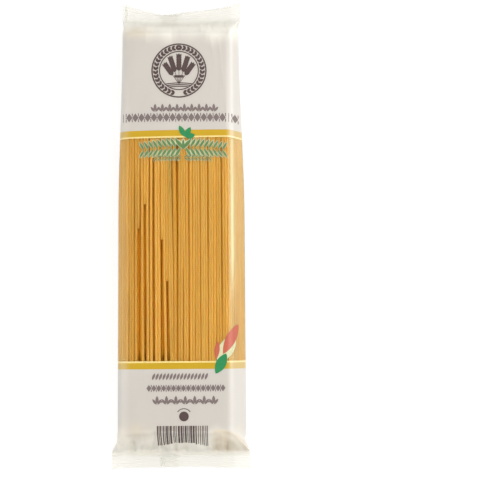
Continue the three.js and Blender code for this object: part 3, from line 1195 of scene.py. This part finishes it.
def make_film(materials):
    heights, finishes = strip_rows()
    grid = np.array([film_ring(y) for y in [*heights, STRIPS[-1][0]]])
    window = film_piece("film_clear", grid, finishes, ["window"], materials)
    bands = film_piece("film_printed", grid, finishes, ["panel", "stripe", "line"], materials)
    ends = film_piece("film_ends", grid, finishes, ["end"], materials)
    return window, bands, ends


def make_strands(material):
    rng = np.random.default_rng(5)
    outer_inset = FILM_GAP + STRAND_RADIUS
    outer = layer_paths(rng, outer_inset, 0.05)
    second = layer_paths(rng, outer_inset + LAYER_DEPTH, 0.1)
    pieces = [
        # the last number is the layer's painted shade
        rods("strands_outer", outer, OUTER_SIDES, material, rng, 0.13, 0.0),
        rods("strands_second", second, INNER_SIDES, material, rng, 0.12, 0.6),
    ]
    inner = inner_paths(rng, outer_inset + 2 * LAYER_DEPTH)
    return pieces + [rods("strands_inner", inner, INNER_SIDES, material, rng, 0.12, 0.9)]


def finish_at(y):
    """The finish of the film's strip that holds y."""
    return [finish for low, _, finish in STRIPS[:-1] if low <= y][-1]


def make_seam(name, trees, wanted, materials):
    """The flap of the long seam where it has the wanted finishes: it lies flat along the back,
    and its free edge stands off a little."""
    columns = np.linspace(SEAM_FOLD_X - SEAM_FLAP, SEAM_FOLD_X, 13)
    first = SEAL_LOW - BOTTOM_SEAL + SEAM_INSET
    last = SEAL_HIGH + TOP_SEAL - SEAM_INSET
    rows = [first] + [y for y in strip_rows(SEAM_CRIMP / 4)[0] if first < y < last] + [last]
    places = []
    flat = []
    for y in rows:
        for x in columns:
            free = (SEAM_FOLD_X - x) / SEAM_FLAP
            along = float(shifted_y(x, y))
            crimp = SEAM_CRIMP_DEPTH * math.sin(2 * math.pi * along / SEAM_CRIMP)
            off = SEAM_GAP + SEAM_LIFT * free**3 + crimp
            places.append(on_film(trees, x, along, off, from_below=True))
            flat.append((x, along, 0.0))
    faces = []
    slots = []
    for i, y in enumerate(rows[:-1]):
        finish = finish_at((y + rows[i + 1]) / 2 + SEAM_OFFSET)
        if finish not in wanted:
            continue
        for a, b, b_next, a_next in ring_faces(i, len(columns))[:-1]:
            if all(places[k] is not None for k in (a, b, b_next, a_next)):
                faces.append((a, a_next, b_next, b))
                slots.append(wanted.index(finish))
    piece, used = finished_piece(name, places, faces, slots, wanted, materials)
    mark_film(piece, [flat[k] for k in used])
    return piece


def make_marks(trees, material):
    """Where the film is double at the ends, in a grey that is also painted shade of these folds: a
    folded strip at the top left, the hem of the top edge, and the long seam where it shows through the bottom
    seal."""
    strips = (
        # x, y, length, width, direction, rows and columns
        (-35.6, 140.5, 13.0, 1.7, 88, 20, 2),
        (-18.0, 145.9, 20.0, 1.1, 0, 24, 2),
        (2.0, 147.0, 34.0, 0.5, 7.5, 30, 2),
        (-14.0, -145.6, 13.4, 2.6, 0, 18, 3),
        (-11.3, -152.2, 7.0, 2.0, 88, 12, 2),
    )
    shapes = [shape for strip in strips for shape in leaf_pieces(*strip)]
    return printed("film_marks", shapes, trees, material, 0.05)


# The shapes in a border: their height and pitch, then their lean, or whether dots lie between
LARGE_LOZENGES = (5.8, 4.1)
SMALL_LOZENGES = (4.4, 3.2)
GRAINS = (4.8, 2.2, 68)
SPRIGS = (5.4, 4.8, False)
DOTTED_SPRIGS = (5.6, 5.6, True)


def front_borders():
    """Three borders low on the front and two above its window."""
    shapes = sprig_row(-15.0, 23.2, 80.0, *SPRIGS)
    shapes += lozenge_row(-36.0, 41.0, 73.6, *LARGE_LOZENGES)
    shapes += grain_row(-16.0, 17.6, -94.0, *GRAINS)
    shapes += lozenge_row(-19.0, 28.2, -101.4, *SMALL_LOZENGES)
    return shapes + sprig_row(-13.8, 22.2, -108.9, *DOTTED_SPRIGS)


def back_borders():
    """Borders on the back, on both sides of the seam's flap."""
    shapes = []
    for left, right in ((-32.0, -15.5), (2.5, 34.0)):
        shapes += lozenge_row(left, right, 74.0, *LARGE_LOZENGES)
        shapes += sprig_row(left + 1, right - 1, 82.0, *SPRIGS)
        shapes += lozenge_row(left, right, -97.5, *SMALL_LOZENGES)
        shapes += grain_row(left, right, -105.0, *GRAINS)
    return shapes


def make_print(trees):
    rng = np.random.default_rng(8)
    dark = medallion(0.6, 104.6, 17.6) + disc_mark(3.3, -119.2)
    dark += stripes_block(rng, -13.9, 18.3, -138.6, -125.1)

    # A garland across the top of the window, with three green leaves over its middle
    leaves = garland(-23.5, 30.0, 52.0, 9, 7.4, 58, 1.8) + garland(-15, 21, 46.6, 8, 3.2, 40, 0.5)
    pale = [leaf(x, y, size + 0.5, size * 0.36, angle) for x, y, size, angle in leaves]
    soft = [leaf(x, y, size, size * 0.24, angle) for x, y, size, angle in leaves]
    fresh = [leaf(4.6, 60.6, size, 3.6, angle) for size, angle in ((8.6, 118), (7.4, 62), (6.6, 12))]

    # A fan of leaves in the middle of the garland
    pale += [leaf(3.3, 52.6, 7.4, 3.2, angle) for angle in (90, 60, 120)]
    soft += [leaf(3.3, 52.6, 6.8, 1.7, angle) for angle in (90, 60, 120)]

    # Large leaves at the window's lower right corner
    pale += leaf_pieces(24.8, -86.0, 22.0, 9.6, 59)
    petals = leaf_pieces(28.4, -80.0, 21.5, 6.4, 63) + leaf_pieces(24.0, -83.0, 11.5, 3.2, 84)
    fresh += leaf_pieces(23.6, -92.4, 14.5, 6.6, 62)

    grey = ink("ink_grey", (98, 86, 84), (118, 104, 100))
    return [
        printed("print_brown", dark, trees, ink("ink_brown", (62, 46, 44), (80, 62, 58)), 0.14),
        printed("print_grey", front_borders(), trees, grey, 0.05),
        printed("print_white", pale, trees, ink("ink_white", (184, 184, 144), (194, 193, 156)), 0.05),
        printed("print_sage", soft, trees, ink("ink_sage", (72, 108, 60), (86, 120, 68)), 0.09),
        printed("print_green", fresh, trees, ink("ink_green", (20, 112, 62), (38, 128, 74)), 0.17),
        printed("print_red", petals, trees, ink("ink_red", (168, 78, 56), (182, 92, 68)), 0.12),
        printed("print_back", back_borders(), trees, grey, 0.05, True),
    ]


def disc_mark(x, y):
    """A small round mark under an arc."""
    return [disc(x, y, 3.1)] + arc_pieces(x, y, 4.9, 0.55, 35, 145)


# The camera, the lights and the table

CAMERA_DISTANCE = 750.0
CAMERA_ELEVATION = 84.6
CAMERA_ASIDE = 38.9  # the camera stands to the right of the packet by this
CAMERA_AHEAD = -6.1
CAMERA_ROLL = -0.41
MM_PER_PIXEL = 0.654
PICTURE_WIDTH = 480
SENSOR = 36.0
TABLE_REACH = 4.0


def make_camera():
    camera = added("camera", bpy.data.cameras.new("camera"))
    camera.data.sensor_width = SENSOR
    camera.data.lens = SENSOR * CAMERA_DISTANCE / (MM_PER_PIXEL * PICTURE_WIDTH)
    elevation = math.radians(CAMERA_ELEVATION)
    aim = Vector((CAMERA_ASIDE, CAMERA_AHEAD, THICKNESS / 2)) * MM
    away = Vector((0, -math.cos(elevation), math.sin(elevation)))
    camera.location = aim + away * CAMERA_DISTANCE * MM
    turn = (-away).to_track_quat("-Z", "Y").to_euler()
    turn.rotate_axis("Z", math.radians(CAMERA_ROLL))
    camera.rotation_euler = turn
    camera.data.clip_start = 0.01
    bpy.context.scene.camera = camera


def make_light(name, place, size, power):
    """A soft white light that is aimed at the middle of the table."""
    light = added(name, bpy.data.lights.new(name, "AREA"))
    light.data.shape = "RECTANGLE"
    light.data.size, light.data.size_y = size
    light.data.energy = power
    light.location = place
    light.rotation_euler = (-Vector(place)).to_track_quat("-Z", "Y").to_euler()


def make_world(overhead, horizon):
    """White light from all round, dimmer from straight above."""
    f = Finish(bpy.data.worlds.new("studio"), "ShaderNodeOutputWorld")
    direction = f.add("ShaderNodeTexCoord").outputs["Generated"]
    height = f.add("ShaderNodeSeparateXYZ", Vector=direction).outputs["Z"]
    limits = {"From_Min": 0.7, "From_Max": 0.97, "To_Min": horizon, "To_Max": overhead}
    smoothed = {"interpolation_type": "SMOOTHSTEP"}
    strength = f.add("ShaderNodeMapRange", smoothed, Value=height, **limits).outputs[0]
    background = f.add("ShaderNodeBackground", Color=WHITE, Strength=strength)
    bpy.context.scene.world = f.finish(background)


def make_table():
    corner_points = [(TABLE_REACH * x, TABLE_REACH * y, 0) for x, y in ((-1, -1), (1, -1), (1, 1), (-1, 1))]
    table = mesh_piece("table", corner_points, [(0, 1, 2, 3)])
    table.data.materials.append(glowing_floor())


bpy.context.scene.view_settings.view_transform = "Standard"
make_camera()
make_world(0.35, 0.6)
make_table()
make_light("right", (0.75, 0.1, 0.55), (0.35, 0.9), 6.2)
make_light("left", (-0.7, 0.0, 0.5), (0.4, 0.9), 2.6)
make_light("head", (0.1, 0.85, 0.8), (1.0, 0.6), 5.3)
make_light("foot", (0.0, -0.85, 0.8), (1.0, 0.6), 4.8)

single = film_finishes(
    "film",
    window=(0.003, (0.98, 0.94, 0.56, 1), 0.12),
    grey=((185, 179, 171), (177, 171, 163)),
    yellow=((181, 147, 26), (173, 138, 20)),
    pale_line=((218, 196, 128), (210, 186, 112)),
)
double = film_finishes(
    "seam",
    window=(0.14, (0.9, 0.88, 0.8, 1), 0.2),
    grey=((178, 172, 163), (170, 164, 155)),
    yellow=((172, 139, 33), (164, 130, 27)),
    pale_line=((208, 186, 120), (200, 176, 104)),
)
clear, bands, ends = make_film(single)
trees = [film_tree(piece) for piece in (clear, bands, ends)]
strands = make_strands(pasta())
clear_seam = make_seam("seam_clear", trees, ["window"], double)
printed_seam = make_seam("seam_printed", trees, ["end", "panel", "stripe", "line"], double)
# the marks' grey is partly double film and partly painted shade
marks = make_marks(trees, printed_film("film_double_and_shade", (203, 202, 193), (196, 195, 186)))
inks = make_print(trees)

for piece in [clear, bands, ends, clear_seam, printed_seam, marks, *strands, *inks]:
    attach(piece, BODY)
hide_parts(NODE)
